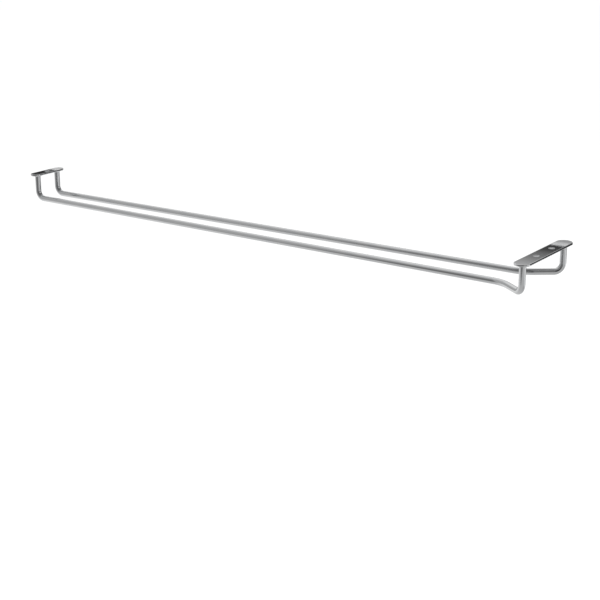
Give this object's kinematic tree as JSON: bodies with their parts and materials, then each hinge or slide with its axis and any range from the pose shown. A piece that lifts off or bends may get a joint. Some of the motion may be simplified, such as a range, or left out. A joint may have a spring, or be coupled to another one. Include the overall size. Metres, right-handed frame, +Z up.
{
  "type": "hanging wine glass rack",
  "caption": "Chrome wire rack that screws under a shelf: two round rails with a flared mouth hang from flat plates and hold stemmed glasses upside down by the foot.",
  "frame": {"origin": "middle of the front plate's top face, which lies against the underside of the shelf", "axes": "+Z up, out of the plates' top faces; +X along the rails and out of the open mouth; +Y to the right of someone who looks into the mouth"},
  "size_m": [0.61, 0.096, 0.03],
  "materials": {
    "wire_chrome": "bright plating on drawn steel wire",
    "plate_chrome": "bright plating on stamped steel strip",
    "weld_chrome": "plated weld bead, slightly rough"
  },
  "bodies": {
    "root": {"left_rail": "wire_chrome", "right_rail": "wire_chrome", "front_plate": "plate_chrome", "back_plate": "plate_chrome", "front_left_weld": "weld_chrome", "front_right_weld": "weld_chrome", "back_left_weld": "weld_chrome", "back_right_weld": "weld_chrome"}
  },
  "joints": []
}
